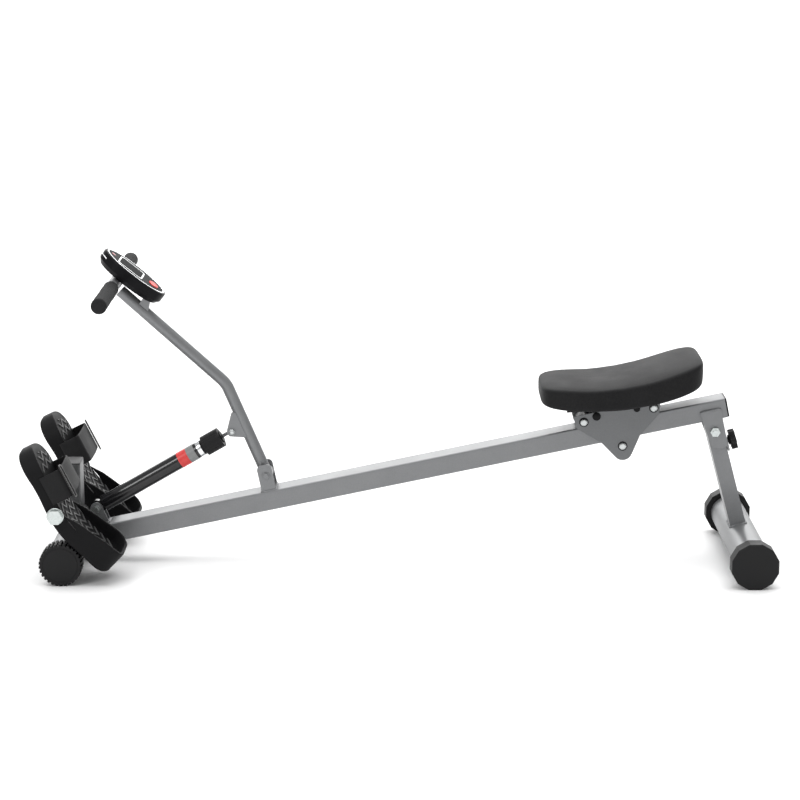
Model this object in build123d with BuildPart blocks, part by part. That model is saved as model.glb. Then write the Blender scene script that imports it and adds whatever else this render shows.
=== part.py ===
"""Single rail rowing machine: fold-away rear leg, swinging mast with hydraulic damper,
roller seat and two hinged foot pedals.  Millimetres, +Z up, the floor at Z = 0,
+X towards the rear (seat end), the user's left at -Y."""
import math
import os

from build123d import *

os.makedirs("parts", exist_ok=True)

# ---- driving dimensions -------------------------------------------------------------
rail_w, rail_h, rail_wall = 52.0, 36.0, 2.0      # main rail section (across, high)
rail_rise = 0.21                                 # slope of the rail, rear end high
rail_mid_z = 169.2                               # rail centre height at X = 0
rail_front_u, rail_rear_u = -590.0, 607.4        # rail ends, measured along the rail

tube_r, tube_wall = 30.0, 2.0                    # front cross tube, and the wall of both
front_x, front_z = -611.0, 38.75                 # front cross tube and wheels
wheel_r, wheel_core_r, wheel_w = 38.75, 36.3, 32.0
wheel_ribs = 30
front_tube_half = 143.0
stub_r = 8.0

rear_x, rear_tube_r = 631.0, 32.5                # rear cross tube
cap_r, cap_w, rear_half = 43.6, 31.0, 200.8      # twelve sided end caps
cap_apothem = cap_r * math.cos(math.pi / 12)

post_x, post_len_x, post_top = -609.6, 37.0, 186.5
axle_x, axle_z, axle_r = -616.0, 132.0, 6.0      # pedal axle
pedal_pitch, pedal_w = 257.0, 110.0
strap_w, strap_t, strap_rise = 54.0, 3.0, 32.0

mast_r, mast_wall, mast_bend_r = 11.0, 1.8, 52.0
mast_pivot = (-249.4, 165.0)
mast_bend = (-321.8, 335.0)
mast_top = (-511.5, 507.2)
bar_x, bar_z, bar_half = -519.5, 523.5, 248.0    # cross bar of the handle
grip_r, grip_in, grip_out = 14.0, 49.0, 254.0

damper_foot = (-564.2, 99.3)                     # lower damper pivot
damper_top = (-311.6, 245.6)                     # upper damper pivot, on the mast
barrel_r, rod_r = 15.0, 3.2

console_mid = (-490.2, 533.0)                    # centre of the console puck
console_len, console_wid, console_h = 136.0, 98.0, 26.0
console_tilt = 38.6                              # face slopes down to the rear

leg_pivot = (574.5, 250.0)
leg_t, leg_w, leg_wall = 29.0, 46.0, 2.0

roller_r, roller_gap = 11.2, 0.05
roller_us = (347.0, 477.0)                       # upper rollers along the rail
lower_roller_u = 408.0
roller_v = rail_h / 2 + roller_r + roller_gap     # roller centres off the rail's middle
plate_y, plate_t = 31.0, 3.0                     # carriage side plates

# ---- derived placement ---------------------------------------------------------------
rail_c = 1 / math.hypot(1, rail_rise)
rail_s = rail_rise * rail_c


def side(y=0.0):
    """Sketch plane seen from the user's left: local x is +X, local y is +Z."""
    return Plane(origin=(0, y, 0), x_dir=(1, 0, 0), z_dir=(0, -1, 0))


def rail_side(y=0.0):
    """The same plane turned to the rail: local x runs up the rail."""
    return Plane(origin=(0, y, rail_mid_z), x_dir=(rail_c, 0, rail_s), z_dir=(0, -1, 0))


def rail_point(u, v):
    """World (X, Z) of a point given along (u) and square to (v) the rail."""
    return (u * rail_c - v * rail_s, rail_mid_z + u * rail_s + v * rail_c)


def save(part, label):
    """Name a finished piece and write its STEP file."""
    part.part.label = label
    export_step(part.part, f"parts/{label}.step")


# ---- main rail -----------------------------------------------------------------------
rail_len = rail_rear_u - rail_front_u
with BuildPart() as rail:
    with BuildSketch(rail_side()):
        with Locations(((rail_rear_u + rail_front_u) / 2, 0)):
            Rectangle(rail_len, rail_h)
    extrude(amount=rail_w / 2, both=True)
    fillet(rail.edges().filter_by(lambda e: abs(e.length - rail_len) < 0.01), 3.0)
    with BuildSketch(rail_side()):
        with Locations(((rail_rear_u + rail_front_u) / 2, 0)):
            Rectangle(rail_len + 2, rail_h - 2 * rail_wall)
    extrude(amount=rail_w / 2 - rail_wall, both=True, mode=Mode.SUBTRACT)
    with BuildSketch(side()):                    # fish mouth against the front cross tube
        with Locations((front_x, front_z)):
            Circle(tube_r + 0.05)
    extrude(amount=rail_w, both=True, mode=Mode.SUBTRACT)
save(rail, "rail")

with BuildPart() as rail_end_cap:                # plastic insert closing the rear end
    with BuildSketch(rail_side()):
        with Locations((rail_rear_u + 1.5, 0)):
            Rectangle(3.0, rail_h - 1)
    extrude(amount=(rail_w - 1) / 2, both=True)
    fillet(rail_end_cap.edges().filter_by(lambda e: abs(e.length - 3) < 0.01), 2.5)
    chamfer(rail_end_cap.faces().sort_by(Axis.X)[-1].edges(), 0.8)
    with BuildSketch(rail_side()):
        with Locations((rail_rear_u - 9, 0)):
            Rectangle(18.0, rail_h - 2 * rail_wall - 0.2)
    extrude(amount=(rail_w - 2 * rail_wall - 0.2) / 2, both=True)
save(rail_end_cap, "rail_end_cap")

# ---- front post, cross tube and axle -------------------------------------------------
post_base = front_z + 8
with BuildPart() as front_post:
    with BuildSketch(Plane.XY.offset(post_base)):
        with Locations((post_x, 0)):
            RectangleRounded(post_len_x, rail_w, 3.0)
    extrude(amount=post_top - post_base)
    with BuildSketch(Plane.XY.offset(post_base)):
        with Locations((post_x, 0)):
            Rectangle(post_len_x - 4, rail_w - 4)
    extrude(amount=post_top - post_base, mode=Mode.SUBTRACT)
    with BuildSketch(side()):
        with Locations((front_x, front_z)):
            Circle(tube_r + 0.05)
    extrude(amount=rail_w, both=True, mode=Mode.SUBTRACT)
    with BuildSketch(side()):
        with Locations((axle_x, axle_z)):
            Circle(axle_r + 0.05)
    extrude(amount=rail_w, both=True, mode=Mode.SUBTRACT)
save(front_post, "front_post")

with BuildPart() as post_cap:
    with BuildSketch(Plane.XY.offset(post_top)):
        with Locations((post_x, 0)):
            RectangleRounded(post_len_x, rail_w, 3.0)
    extrude(amount=3.0)
    chamfer(post_cap.faces().sort_by(Axis.Z)[-1].edges(), 1.0)
    with BuildSketch(Plane.XY.offset(post_top)):
        with Locations((post_x, 0)):
            Rectangle(post_len_x - 4.2, rail_w - 4.2)
    extrude(amount=-14.0)
save(post_cap, "post_cap")

with BuildPart() as front_cross_tube:
    with BuildSketch(side()):
        with Locations((front_x, front_z)):
            Circle(tube_r)
            Circle(tube_r - tube_wall, mode=Mode.SUBTRACT)
    extrude(amount=front_tube_half, both=True)
save(front_cross_tube, "front_cross_tube")

with BuildPart() as front_axle:                  # through rod with a disc in each tube end
    with BuildSketch(side()):
        with Locations((front_x, front_z)):
            Circle(stub_r)
    extrude(amount=front_tube_half + wheel_w - 6, both=True)
    for y in (-front_tube_half - 1.0, front_tube_half - 5.0):
        with BuildSketch(side(y + 6.0)):
            with Locations((front_x, front_z)):
                Circle(tube_r - tube_wall - 0.05)
        extrude(amount=6.0)
save(front_axle, "front_axle")

wheel_in = front_tube_half + 1.4
for name, sign in (("left", -1), ("right", 1)):
    with BuildPart() as wheel:
        with BuildSketch(side(sign * (wheel_in + (wheel_w if sign > 0 else 0)))):
            with Locations((front_x, front_z)):
                Circle(wheel_core_r)
                with PolarLocations(wheel_core_r - 0.6, wheel_ribs, -90):
                    Rectangle(2 * (wheel_r - wheel_core_r + 0.6), 4.4)
        extrude(amount=wheel_w)
        with BuildSketch(side(sign * (wheel_in + wheel_w))):
            with Locations((front_x, front_z)):
                Circle(wheel_core_r - 4.5)
                Circle(wheel_core_r - 5.3, mode=Mode.SUBTRACT)
        extrude(amount=sign * 0.5, mode=Mode.SUBTRACT)
        with BuildSketch(side(sign * wheel_in)):
            with Locations((front_x, front_z)):
                Circle(stub_r + 0.08)
        extrude(amount=-sign * (wheel_w - 5), mode=Mode.SUBTRACT)
    save(wheel, f"front_wheel_{name}")

# ---- pedal axle ----------------------------------------------------------------------
pedal_out = pedal_pitch / 2 + pedal_w / 2
with BuildPart() as pedal_axle:
    with BuildSketch(side()):
        with Locations((axle_x, axle_z)):
            Circle(axle_r)
    extrude(amount=pedal_out + 4, both=True)
    for y0 in (pedal_pitch / 2 - pedal_w / 2 - 0.4, -rail_w / 2 - 0.05):
        with BuildSketch(side(y0)):              # spacer sleeves beside the post
            with Locations((axle_x, axle_z)):
                Circle(9.5)
        extrude(amount=pedal_pitch / 2 - pedal_w / 2 - rail_w / 2 - 0.45)
save(pedal_axle, "pedal_axle")

for name, sign in (("left", -1), ("right", 1)):
    with BuildPart() as axle_nut:                # flanged hex head
        y_in = sign * (pedal_out + 0.4)
        with BuildSketch(side(y_in)):
            with Locations((axle_x, axle_z)):
                Circle(15.5)
        extrude(amount=-sign * 2.2)
        chamfer(axle_nut.edges().filter_by(GeomType.CIRCLE).sort_by(Axis.Y)[0 if sign < 0 else -1], 0.8)
        with BuildSketch(side(y_in + sign * 2.2)):
            with Locations((axle_x, axle_z)):
                RegularPolygon(12.4, 6, major_radius=False)
        extrude(amount=-sign * 9.0)
        with BuildSketch(side(y_in)):
            with Locations((axle_x, axle_z)):
                Circle(axle_r + 0.02)
        extrude(amount=-sign * 5.0, mode=Mode.SUBTRACT)
    save(axle_nut, f"axle_nut_{name}")

# ---- foot pedals ---------------------------------------------------------------------
# sole side view: under side from toe to heel, then the foot side back to the toe
sole_under = [(-678.5, 227.0), (-668.0, 209.0), (-654.5, 187.5), (-642.0, 162.5),
              (-631.5, 138.0), (-619.5, 114.5), (-604.5, 93.5), (-586.0, 74.5),
              (-566.0, 54.5), (-549.0, 37.5), (-536.5, 28.5), (-526.0, 25.5)]
sole_foot = [(-505.5, 31.0), (-521.0, 45.5), (-551.0, 74.0), (-578.0, 103.0),
             (-599.0, 130.5), (-612.5, 157.0), (-624.0, 184.0), (-636.0, 212.0),
             (-650.0, 238.0)]
toe_tip = (-667.0, 249.5)
wing_line = [(-526.0, 25.5), (-497.5, 52.0), (-507.0, 65.0), (-518.2, 76.0), (-529.0, 84.8),
             (-544.6, 95.4), (-560.0, 107.4), (-575.5, 118.8), (-600.0, 132.0), (-585.0, 114.5),
             (-574.0, 97.0), (-563.0, 80.0), (-545.0, 50.0), (-526.0, 25.5)]
strap_mid = (-622.0, 181.0)                      # strap centre on the foot side
strap_deg, heel_deg = 63.9, 43.5                 # slope of the sole at the strap and the heel
foot_drop = 0.3                                  # tread recess below the sole's rim


def sole_plane(origin, y, slope):
    """Plane on the sole: local x is across (+Y), local y runs to the toe, z off the foot side."""
    n = (math.sin(math.radians(slope)), 0, math.cos(math.radians(slope)))
    return Plane(origin=(origin[0], y, origin[1]), x_dir=(0, 1, 0), z_dir=n)


def lifted(points, h):
    """Side view points moved h off the foot side."""
    a = math.radians(56)
    return [(x + h * math.sin(a), z + h * math.cos(a)) for x, z in points]


for name, sign in (("left", -1), ("right", 1)):
    mid_y = sign * pedal_pitch / 2
    half = pedal_w / 2
    at_strap = sole_plane(strap_mid, mid_y, strap_deg)
    at_heel = sole_plane(sole_under[-1], mid_y, heel_deg)

    with BuildPart() as foot_room:               # space over the sole inside the heel cup
        with BuildSketch(side(mid_y)):
            with BuildLine():
                floor_line = Spline(*lifted(sole_foot, -foot_drop))
                Polyline(floor_line @ 1, (-567.3, 293.8), (-430.0, 130.0), (-470.0, 0.0), floor_line @ 0)
            make_face()
        extrude(amount=half - 4.0, both=True)
        with BuildSketch(at_heel):
            with Locations((0, 155.0)):
                RectangleRounded(2 * half - 8.0, 300.0, 24.0)
        extrude(amount=150, both=True, mode=Mode.INTERSECT)
        with BuildSketch(at_strap):
            with Locations((0, 26.0)):
                Ellipse(half - 4.0, 46.0)
            with Locations((0, -117.0)):
                Rectangle(2 * half, 286.0)
        extrude(amount=150, both=True, mode=Mode.INTERSECT)

    with BuildPart() as pedal:
        with BuildSketch(side(mid_y)):
            with BuildLine():
                under = Spline(*sole_under)
                Line(under @ 1, sole_foot[0])
                foot = Spline(*sole_foot)
                Spline(foot @ 1, toe_tip, (-680.0, 240.5), under @ 0,
                       tangents=((-0.5, 0.86), (0.42, -0.9)))
            make_face()
        extrude(amount=half, both=True)
        with BuildSketch(side(mid_y)):           # heel cup: wings free at the front, end wall
            with BuildLine():
                Polyline(*wing_line)
            make_face()
        extrude(amount=half, both=True)
        with BuildSketch(at_heel):               # rounded heel corners
            with Locations((0, 150.0)):
                RectangleRounded(2 * half, 300.0, 28.0)
        extrude(amount=150, both=True, mode=Mode.INTERSECT)
        with BuildSketch(at_strap):              # round toe
            with Locations((0, 28.0)):
                Ellipse(half, 52.0)
            with Locations((0, -116.0)):
                Rectangle(2 * half, 288.0)
        extrude(amount=150, both=True, mode=Mode.INTERSECT)
        add(foot_room.part, mode=Mode.SUBTRACT)
        with BuildSketch(side(mid_y)):
            with Locations((axle_x, axle_z)):
                Circle(axle_r + 0.08)
        extrude(amount=half + 2, both=True, mode=Mode.SUBTRACT)
    save(pedal, f"pedal_{name}")

    with BuildPart() as tread:                   # raised zigzag ribs on the sole
        with BuildSketch(side(mid_y)):
            with BuildLine():
                low = Spline(*lifted(sole_foot, -foot_drop + 0.1))
                high = Spline(*lifted(sole_foot, 1.5))
                Line(low @ 0, high @ 0)
                Line(low @ 1, high @ 1)
            make_face()
        extrude(amount=half - 8, both=True)
        with BuildSketch(Plane(origin=(-580.0, mid_y, 140.0), x_dir=(0, 1, 0),
                               z_dir=(0.82, 0, 0.5724))):
            for row in (-98, -82, -66, -50, -34, -18, -2, 14, 92, 108, 124):
                with BuildLine():
                    zig = [(-46.8 + 18.72 * i, row + (6.5 if i % 2 else -6.5)) for i in range(6)]
                    Polyline(*zig, *[(x, y + 3.8) for x, y in reversed(zig)], zig[0])
                make_face()
        extrude(amount=120, both=True, mode=Mode.INTERSECT)
        with BuildSketch(at_heel):
            with Locations((0, 160.0)):
                RectangleRounded(2 * half - 14.0, 300.0, 20.0)
        extrude(amount=150, both=True, mode=Mode.INTERSECT)
        with BuildSketch(at_strap):
            with Locations((0, 24.0)):
                Ellipse(half - 8.0, 42.0)
            with Locations((0, -118.0)):
                Rectangle(2 * half, 284.0)
        extrude(amount=150, both=True, mode=Mode.INTERSECT)
    save(tread, f"tread_{name}")

    across = half + 0.05 + strap_t               # outside of the band, clear of the sole's edge
    with BuildPart() as strap:                   # band over the foot, ends on the sole's edges
        with BuildSketch(Plane(origin=at_strap.origin, x_dir=(0, 1, 0), z_dir=-at_strap.y_dir)):
            with BuildLine():
                outer = Polyline((-across, -9), (-across, strap_rise - 10), (-across + 9, strap_rise - 1.5),
                                 (0, strap_rise), (across - 9, strap_rise - 1.5),
                                 (across, strap_rise - 10), (across, -9))
                Line(outer @ 1, (across - strap_t, -9))
                inner = Polyline((across - strap_t, -9), (across - strap_t, strap_rise - 11.4),
                                 (across - 10.2, strap_rise - strap_t - 1.5),
                                 (0, strap_rise - strap_t),
                                 (-across + 10.2, strap_rise - strap_t - 1.5),
                                 (-across + strap_t, strap_rise - 11.4), (-across + strap_t, -9))
                Line(inner @ 1, outer @ 0)
            make_face()
        extrude(amount=strap_w / 2, both=True)
    save(strap, f"strap_{name}")

    with BuildPart() as buckle:                  # wire ring at the strap's outer corner
        corner = at_strap.origin + at_strap.y_dir * 0 + at_strap.x_dir * (sign * (across - 9.0)) \
            + at_strap.z_dir * (strap_rise + 0.9)
        ring_out = (at_strap.z_dir + at_strap.x_dir * (sign * 0.12)).normalized()
        with BuildSketch(Plane(origin=corner, x_dir=at_strap.y_dir, z_dir=ring_out)):
            RectangleRounded(strap_w + 11, 13, 3.5)
            RectangleRounded(strap_w + 6, 8, 1.5, mode=Mode.SUBTRACT)
        extrude(amount=1.1, both=True)
    save(buckle, f"buckle_{name}")

# ---- damper foot clevis --------------------------------------------------------------
clevis_u = -566.5
with BuildPart() as cylinder_clevis:
    with BuildSketch(rail_side()):
        with BuildLine():
            Polyline((clevis_u - 17, rail_h / 2 + 0.02), (clevis_u - 10.5, 50), (clevis_u + 10.5, 50),
                     (clevis_u + 17, rail_h / 2 + 0.02), (clevis_u - 17, rail_h / 2 + 0.02))
        make_face()
        with Locations((clevis_u, 47.4)):
            Circle(12.0)
    extrude(amount=12.5, both=True)
    with BuildSketch(rail_side()):
        with Locations((clevis_u, 48.4)):
            Rectangle(60, 54)
    extrude(amount=9.5, both=True, mode=Mode.SUBTRACT)
    with BuildSketch(side()):
        with Locations(damper_foot):
            Circle(4.03)
    extrude(amount=20, both=True, mode=Mode.SUBTRACT)
save(cylinder_clevis, "cylinder_clevis")


# ---- pivot bolts ---------------------------------------------------------------------
# label, centre, shank radius, reach to the head, hex across flats, head height
pivot_bolts = (("clevis_bolt", damper_foot, 4.0, 12.55, 13.0, 5.3),
               ("mast_bolt", mast_pivot, 5.0, 23.05, 13.0, 1.6),
               ("tab_bolt", damper_top, 4.0, 10.05, 10.0, 4.0),
               ("rear_bolt", leg_pivot, 5.0, 29.1, 16.0, 6.5))
for label, centre, shank, reach, flats, head in pivot_bolts:
    with BuildPart() as pivot_bolt:              # head on the left, nut on the right
        with BuildSketch(side()):
            with Locations(centre):
                Circle(shank)
        extrude(amount=reach + head + 2, both=True)
        for y in (-reach, reach + head):
            with BuildSketch(side(y)):
                with Locations(centre):
                    RegularPolygon(flats / 2, 6, major_radius=False)
            extrude(amount=head)
    save(pivot_bolt, label)

# ---- mast bracket --------------------------------------------------------------------
with BuildPart() as mast_bracket:
    with BuildSketch(rail_side()):
        with Locations((-245.5, 43.0)):
            Rectangle(27.0, 49.9)
    extrude(amount=23.0, both=True)
    fillet(mast_bracket.edges().filter_by(Axis.Y).sort_by(Axis.Z)[-2:], 9.0)
    with BuildSketch(rail_side()):
        with Locations((-245.5, 46.0)):
            Rectangle(40.0, 49.9)
    extrude(amount=20.0, both=True, mode=Mode.SUBTRACT)
    with BuildSketch(side()):
        with Locations(mast_pivot):
            Circle(5.03)
    extrude(amount=30, both=True, mode=Mode.SUBTRACT)
save(mast_bracket, "mast_bracket")

# ---- mast ----------------------------------------------------------------------------
with BuildPart() as mast_tube:
    with BuildLine() as mast_path:
        FilletPolyline((mast_pivot[0], 0, mast_pivot[1]), (mast_bend[0], 0, mast_bend[1]),
                       (mast_top[0], 0, mast_top[1]), radius=mast_bend_r)
    with BuildSketch(Plane(origin=mast_path.line @ 0, z_dir=mast_path.line % 0)):
        Circle(mast_r)
        Circle(mast_r - mast_wall, mode=Mode.SUBTRACT)
    sweep()
    with BuildSketch(side()):
        with Locations(mast_pivot):
            Circle(12.0)
    extrude(amount=20.0, both=True, mode=Mode.SUBTRACT)
    with BuildSketch(side()):
        with Locations((bar_x, bar_z)):
            Circle(mast_r + 0.03)
    extrude(amount=30.0, both=True, mode=Mode.SUBTRACT)
    with BuildSketch(side()):                    # cross sleeve on the pivot bolt
        with Locations(mast_pivot):
            Circle(12.2)
    extrude(amount=19.7, both=True)
    with BuildSketch(side()):
        with Locations(mast_pivot):
            Circle(5.08)
    extrude(amount=30.0, both=True, mode=Mode.SUBTRACT)
save(mast_tube, "mast_tube")

with BuildPart() as mast_tabs:                   # pair of ears for the damper rod
    with BuildSketch(side()):
        with BuildLine():
            Polyline((-316.5, 236.5), (-320.5, 250.0), (-314.0, 275.5), (-309.0, 281.0),
                     (-299.0, 283.0), (-277.0, 236.0), (-285.0, 234.5), (-316.5, 236.5))
        make_face()
        with Locations(damper_top):
            Circle(9.2)
    extrude(amount=10.0, both=True)
    with BuildSketch(side()):
        Rectangle(2000, 2000)
    extrude(amount=7.0, both=True, mode=Mode.SUBTRACT)
    with BuildLine() as mast_core:
        Line((mast_pivot[0], 0, mast_pivot[1]), (mast_bend[0], 0, mast_bend[1]))
    with BuildSketch(Plane(origin=mast_core.line @ 0, z_dir=mast_core.line % 0)):
        Circle(mast_r + 0.02)
    extrude(amount=260, mode=Mode.SUBTRACT)
    with BuildSketch(side()):
        with BuildLine():
            Polyline((-284.0, 245.6), (-240.0, 264.0), (-210.0, 190.0), (-254.0, 172.0),
                     (-284.0, 245.6))
        make_face()
    extrude(amount=40, both=True, mode=Mode.SUBTRACT)
    with BuildSketch(side()):
        with Locations(damper_top):
            Circle(4.03)
    extrude(amount=30, both=True, mode=Mode.SUBTRACT)
save(mast_tabs, "mast_tabs")

with BuildPart() as t_bar:
    with BuildSketch(side()):
        with Locations((bar_x, bar_z)):
            Circle(mast_r)
            Circle(mast_r - mast_wall, mode=Mode.SUBTRACT)
    extrude(amount=bar_half, both=True)
save(t_bar, "t_bar")

for name, sign in (("left", -1), ("right", 1)):
    with BuildPart() as grip:
        with BuildSketch(side(sign * grip_out)):
            with Locations((bar_x, bar_z)):
                Circle(grip_r)
        extrude(amount=sign * (grip_out - grip_in))
        fillet(grip.edges().filter_by(GeomType.CIRCLE), 3.0)
        with BuildSketch(side(sign * (bar_half + 0.1))):
            with Locations((bar_x, bar_z)):
                Circle(mast_r + 0.02)
        extrude(amount=sign * bar_half, mode=Mode.SUBTRACT)
    save(grip, f"grip_{name}")

# ---- console -------------------------------------------------------------------------
tilt = math.radians(console_tilt)
face_x = (math.cos(tilt), 0, -math.sin(tilt))    # down the face, towards the user
face_n = (math.sin(tilt), 0, math.cos(tilt))


def puck(h):
    """Plane square to the console face, h above the middle of the puck."""
    return Plane(origin=(console_mid[0] + face_n[0] * h, 0, console_mid[1] + face_n[2] * h),
                 x_dir=face_x, z_dir=face_n)


half_h = console_h / 2
with BuildPart() as console_housing:
    with BuildSketch(puck(-half_h)):
        Ellipse(console_len / 2 - 7, console_wid / 2 - 7)
    with BuildSketch(puck(-half_h + 9)):
        Ellipse(console_len / 2, console_wid / 2)
    loft()
    with BuildSketch(puck(-half_h + 9)):
        Ellipse(console_len / 2, console_wid / 2)
    extrude(amount=console_h - 9)
    fillet(console_housing.faces().sort_by(Axis((0, 0, 0), face_n))[0].edges(), 2.0)
    fillet(console_housing.faces().sort_by(Axis((0, 0, 0), face_n))[-1].edges(), 3.0)
    with BuildSketch(puck(half_h - 5)):
        Ellipse(console_len / 2 - 4.95, console_wid / 2 - 3.95)
    extrude(amount=10, mode=Mode.SUBTRACT)
save(console_housing, "console_housing")

with BuildPart() as console_ring:                # bright trim between the shells
    with BuildSketch(puck(half_h - 5 + 0.02)):
        Ellipse(console_len / 2 - 5.0, console_wid / 2 - 4.0)
        Ellipse(console_len / 2 - 7.0, console_wid / 2 - 6.0, mode=Mode.SUBTRACT)
    extrude(amount=5.4)
save(console_ring, "console_ring")

window = (-10.0, 0.0)
button_at = (40.0, 0.0)
with BuildPart() as console_face:
    with BuildSketch(puck(half_h - 5 + 0.02)):
        Ellipse(console_len / 2 - 7.05, console_wid / 2 - 6.05)
    extrude(amount=5.0)
    with BuildSketch(puck(half_h + 0.1)):
        with Locations(window):
            RectangleRounded(54, 60, 9)
    extrude(amount=-2.4, mode=Mode.SUBTRACT)
    with BuildSketch(puck(half_h + 0.1)):
        with Locations(button_at):
            Ellipse(10.0, 14.0)
    extrude(amount=-4.0, mode=Mode.SUBTRACT)
save(console_face, "console_face")

with BuildPart() as console_lcd:                 # pale frame and display panel
    with BuildSketch(puck(half_h - 2.25)):
        with Locations(window):
            RectangleRounded(53.8, 59.8, 8.9)
    extrude(amount=2.4)
    with BuildSketch(puck(half_h - 1.45)):
        with Locations(window):
            RectangleRounded(48.0, 54.0, 6.2)
    extrude(amount=4.0, mode=Mode.SUBTRACT)
save(console_lcd, "console_lcd")

with BuildPart() as console_lens:
    with BuildSketch(puck(half_h - 1.42)):
        with Locations(window):
            RectangleRounded(47.9, 53.9, 6.1)
    extrude(amount=1.2)
    chamfer(console_lens.faces().sort_by(Axis((0, 0, 0), face_n))[-1].edges(), 0.3)
save(console_lens, "console_lens")

with BuildPart() as console_button:
    with BuildSketch(puck(half_h - 2.2)):
        with Locations(button_at):
            Ellipse(9.9, 13.9)
    extrude(amount=3.6)
    fillet(console_button.faces().sort_by(Axis((0, 0, 0), face_n))[-1].edges(), 1.0)
save(console_button, "console_button")

with BuildPart() as console_bracket:             # saddle on the mast and rear console leg
    with BuildSketch(side()):
        with BuildLine():
            Polyline((-464.0, 502.0), (-456.0, 495.5), (-461.0, 470.0), (-478.0, 483.0),
                     (-464.0, 502.0))
        make_face()
    extrude(amount=9.0, both=True)
    with BuildLine() as mast_upper:
        Line((mast_bend[0], 0, mast_bend[1]), (mast_top[0], 0, mast_top[1]))
    with BuildSketch(Plane(origin=mast_upper.line @ 0, z_dir=mast_upper.line % 0)):
        Circle(mast_r + 0.03)
    extrude(amount=280, mode=Mode.SUBTRACT)
    with BuildSketch(puck(-half_h - 0.03)):
        Rectangle(300, 300)
    extrude(amount=60, mode=Mode.SUBTRACT)
save(console_bracket, "console_bracket")

# ---- damper --------------------------------------------------------------------------
dx, dz = damper_top[0] - damper_foot[0], damper_top[1] - damper_foot[1]
damper_len = math.hypot(dx, dz)
damper_dir = (dx / damper_len, 0, dz / damper_len)


def damper(s):
    """Plane square to the damper, s along it from the foot pivot."""
    return Plane(origin=(damper_foot[0] + damper_dir[0] * s, 0, damper_foot[1] + damper_dir[2] * s),
                 x_dir=(0, 1, 0), z_dir=damper_dir)


with BuildPart() as damper_barrel:
    with BuildSketch(side()):
        with Locations(damper_foot):
            Circle(14.2)
    extrude(amount=6.0, both=True)
    with BuildSketch(damper(11)):
        Rectangle(12.0, 20.0)
    extrude(amount=10)
    with BuildSketch(damper(15.5)):
        Circle(barrel_r)
    extrude(amount=213.5)
    chamfer(damper_barrel.faces().sort_by(Axis((0, 0, 0), damper_dir))[-1].edges(), 1.0)
    with BuildSketch(damper(229)):
        Circle(9.0)
    extrude(amount=39)
    with BuildSketch(damper(30)):
        Circle(12.0)
    extrude(amount=192, mode=Mode.SUBTRACT)
    with BuildSketch(damper(218)):
        Circle(rod_r + 0.08)
    extrude(amount=60, mode=Mode.SUBTRACT)
    with BuildSketch(side()):                    # oversize eye on the clevis bolt
        with Locations(damper_foot):
            Circle(9.6)
    extrude(amount=20, both=True, mode=Mode.SUBTRACT)
save(damper_barrel, "damper_barrel")

for label, s0, s1 in (("damper_label_red", 179.0, 198.0), ("damper_label_grey", 198.1, 214.0)):
    with BuildPart() as sticker:
        with BuildSketch(damper(s0)):
            Circle(barrel_r + 0.3)
            Circle(barrel_r + 0.01, mode=Mode.SUBTRACT)
        extrude(amount=s1 - s0)
    save(sticker, label)

with BuildPart() as damper_ring:
    with BuildSketch(damper(219.5)):
        Circle(barrel_r + 0.7)
        Circle(barrel_r + 0.02, mode=Mode.SUBTRACT)
    extrude(amount=8.5)
    chamfer(damper_ring.edges().filter_by(GeomType.CIRCLE).sort_by(SortBy.RADIUS)[-2:], 0.4)
save(damper_ring, "damper_ring")

with BuildPart() as damper_knob:                 # resistance dial on the barrel neck
    with BuildSketch(damper(232.4)):
        Circle(18.8)
    extrude(amount=35.4)
    with BuildSketch(damper(229.2)):
        Circle(14.0)
    extrude(amount=3.4)
    with BuildSketch(damper(230)):
        with PolarLocations(19.3, 24):
            Circle(1.0)
    extrude(amount=34, mode=Mode.SUBTRACT)
    with BuildSketch(damper(267.6)):
        Circle(11.5)
    extrude(amount=2.6)
    with BuildSketch(damper(224)):
        Circle(9.08)
    extrude(amount=45, mode=Mode.SUBTRACT)
    with BuildSketch(damper(260)):
        Circle(rod_r + 0.3)
    extrude(amount=20, mode=Mode.SUBTRACT)
save(damper_knob, "damper_knob")

with BuildPart() as damper_rod:
    with BuildSketch(side()):
        with Locations(damper_top):
            Circle(9.5)
    extrude(amount=6.0, both=True)
    with BuildSketch(damper(48)):
        Circle(rod_r)
    extrude(amount=damper_len - 48 - 8)
    with BuildSketch(damper(42)):                # piston
        Circle(11.9)
    extrude(amount=12)
    with BuildSketch(side()):
        with Locations(damper_top):
            Circle(4.08)
    extrude(amount=20, both=True, mode=Mode.SUBTRACT)
save(damper_rod, "damper_rod")

# ---- seat ----------------------------------------------------------------------------
seat_top = [(253.5, 338.0), (262.0, 342.8), (292.0, 345.0), (327.0, 345.4), (361.0, 347.0),
            (395.0, 350.5), (430.0, 357.0), (463.5, 366.4), (497.5, 377.8), (528.0, 387.0),
            (541.0, 388.5)]
seat_under = [(547.0, 356.0), (541.0, 346.5), (521.0, 335.5), (488.0, 325.5), (450.0, 315.0),
              (418.0, 308.4), (367.0, 304.0), (309.0, 302.4), (268.0, 304.5), (253.5, 318.0)]
with BuildPart() as seat_pad:
    with BuildSketch(side()):
        with BuildLine():
            over = Spline(*seat_top)
            Line(over @ 1, seat_under[0])
            below = Spline(*seat_under)
            Line(below @ 1, over @ 0)
        make_face()
    extrude(amount=104.0, both=True)
    with BuildSketch(Plane.XY.offset(280)):
        with Locations((400.25, 0)):
            RectangleRounded(294.5, 208.0, 52.0)
    extrude(amount=130, mode=Mode.INTERSECT)
save(seat_pad, "seat_pad")

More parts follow.
